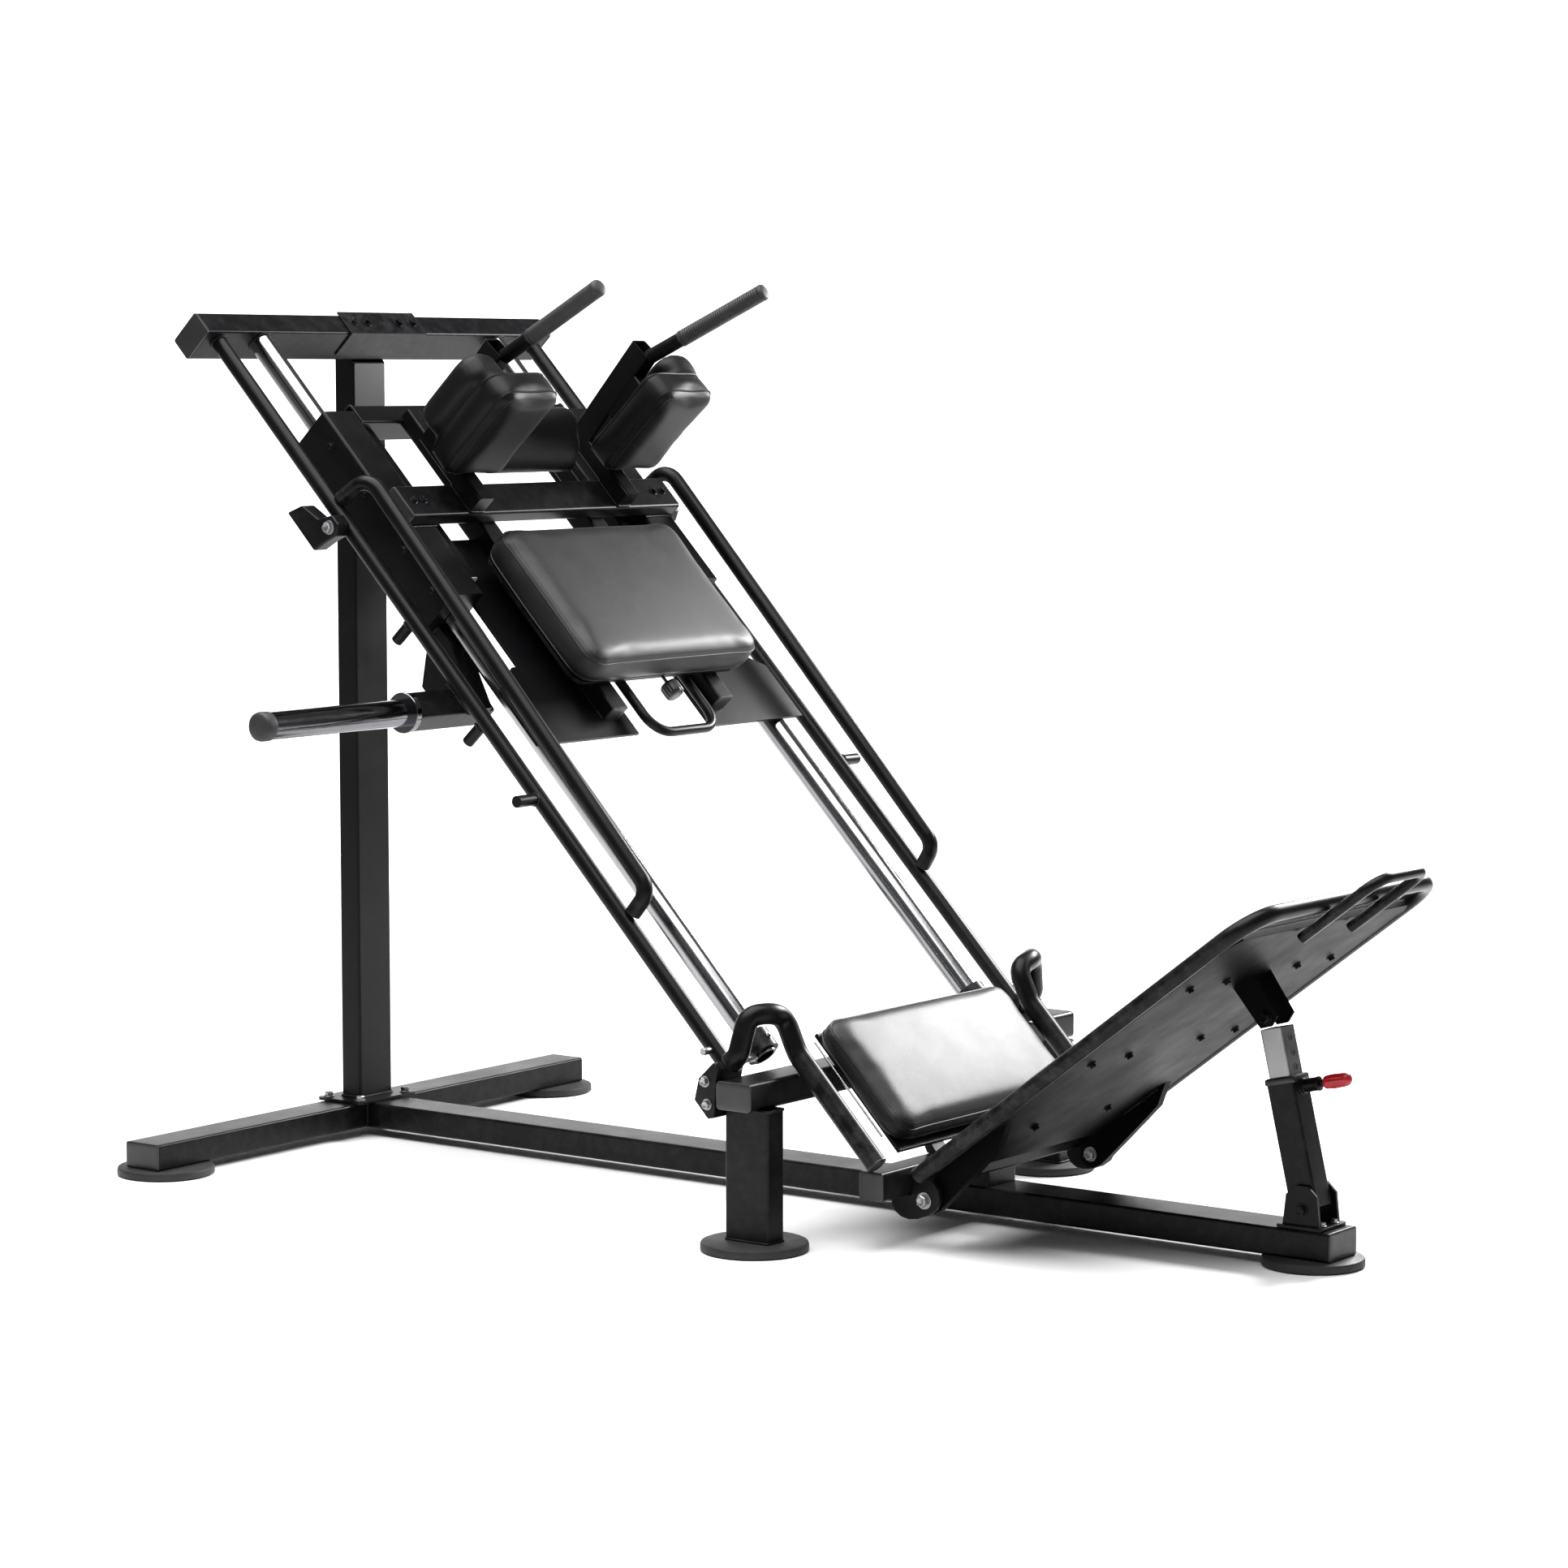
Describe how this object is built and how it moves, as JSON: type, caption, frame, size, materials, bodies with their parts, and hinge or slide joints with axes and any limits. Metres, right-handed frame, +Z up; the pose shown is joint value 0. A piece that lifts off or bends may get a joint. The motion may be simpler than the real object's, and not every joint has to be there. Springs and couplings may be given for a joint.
{
  "type": "hack squat machine",
  "caption": "Plate-loaded leg press and hack squat machine: padded carriage on sloping chrome rods, seat, angled padded foot panel on a telescopic strut, handrails and a weight horn.",
  "frame": {"origin": "on the floor, at the middle of the machine's footprint with its weight horn", "axes": "+X from the upright post to the free end of the foot panel, +Y to the side away from the weight horn, +Z up"},
  "size_m": [2.4238, 1.5422, 1.682],
  "materials": {
    "frame_black": "satin black powder coat",
    "chrome": "polished chrome plate",
    "zinc": "satin zinc plate",
    "rubber": "matt moulded rubber",
    "black_plastic": "matt black plastic",
    "vinyl": "grained black upholstery vinyl over foam",
    "red_plastic": "moulded red plastic grip"
  },
  "bodies": {
    "base": {"rear_base_tube": "frame_black", "main_beam": "frame_black", "foot_rear_right": "rubber", "foot_rear_left": "rubber", "foot_mid_right": "rubber", "foot_mid_left": "rubber", "foot_front": "rubber", "upright_post": "frame_black", "column_right": "frame_black", "column_left": "frame_black", "lower_crossbar": "frame_black", "top_crossbar": "frame_black", "crossbar_cap_right": "black_plastic", "crossbar_cap_left": "black_plastic", "crossbar_saddle": "frame_black", "guide_rod_right": "chrome", "guide_rod_left": "chrome", "side_tube_right": "frame_black", "side_tube_left": "frame_black", "handrail_right": "frame_black", "handrail_left": "frame_black", "rod_socket_right": "frame_black", "rod_socket_left": "frame_black", "side_shoe_right": "frame_black", "side_shoe_left": "frame_black", "arch_right": "frame_black", "arch_left": "frame_black", "seat_cross_member": "frame_black", "pivot_bracket_right": "frame_black", "pivot_bracket_left": "frame_black", "seat_frame": "frame_black", "seat_pad": "vinyl", "strut_bracket": "frame_black"},
    "carriage": {"housing_right": "frame_black", "housing_left": "frame_black", "carriage_upper_tube": "frame_black", "carriage_main_tube": "frame_black", "carriage_bearer_right": "frame_black", "carriage_bearer_left": "frame_black", "back_board": "frame_black", "back_pad": "vinyl", "shoulder_support_right": "frame_black", "shoulder_support_left": "frame_black", "shoulder_pad_right": "vinyl", "shoulder_pad_left": "vinyl", "head_rest": "vinyl", "horn_arm": "frame_black", "horn_gusset": "frame_black", "weight_horn": "chrome", "carriage_handle": "frame_black"},
    "knob": {"carriage_knob": "black_plastic"},
    "hook_right": {"safety_hook_right": "frame_black"},
    "hook_left": {"safety_hook_left": "frame_black"},
    "panel": {"panel_board": "frame_black", "panel_pad": "vinyl", "panel_loop": "frame_black", "panel_grab_bar": "frame_black"},
    "sleeve": {"strut_sleeve": "frame_black"},
    "slider": {"strut_tube": "zinc"},
    "pull_pin": {"strut_pull_pin": "red_plastic"}
  },
  "joints": [
    {"name": "carriage_slide", "type": "slide", "parent": "base", "child": "carriage", "axis": [0.689, 0, -0.7248], "range_m": [-0.12, 0.55]},
    {"name": "knob_pull", "type": "slide", "parent": "carriage", "child": "knob", "axis": [0.689, 0, -0.7248], "range_m": [0, 0.012], "stiffness_N_per_m": 1200, "springref_m": -0.004},
    {"name": "hook_right_turn", "type": "hinge", "parent": "base", "child": "hook_right", "pos_m": [-0.73958, -0.38335, 1.23402], "axis": [0, 1, 0], "range_deg": [-10, 60]},
    {"name": "hook_left_turn", "type": "hinge", "parent": "base", "child": "hook_left", "pos_m": [-0.73958, 0.60165, 1.23402], "axis": [0, 1, 0], "range_deg": [-10, 60]},
    {"name": "panel_tilt", "type": "hinge", "parent": "base", "child": "panel", "pos_m": [0.4347, 0.10915, 0.086], "axis": [0, -1, 0], "range_deg": [-6, 5]},
    {"name": "strut_swing", "type": "hinge", "parent": "base", "child": "sleeve", "pos_m": [1.0367, 0.10915, 0.1], "axis": [0, -1, 0], "range_deg": [-4, 4]},
    {"name": "strut_extend", "type": "slide", "parent": "sleeve", "child": "slider", "axis": [-0.229, 0, 0.9734], "range_m": [-0.07, 0.06]},
    {"name": "pin_pull", "type": "slide", "parent": "sleeve", "child": "pull_pin", "axis": [0.9734, 0, 0.229], "range_m": [0, 0.012], "stiffness_N_per_m": 1200, "springref_m": -0.004}
  ],
  "couplings": [
    {"joint": "strut_swing", "follows": "panel_tilt", "ratio": 0.62555},
    {"joint": "strut_extend", "follows": "panel_tilt", "m_per_rad": 0.58921}
  ]
}
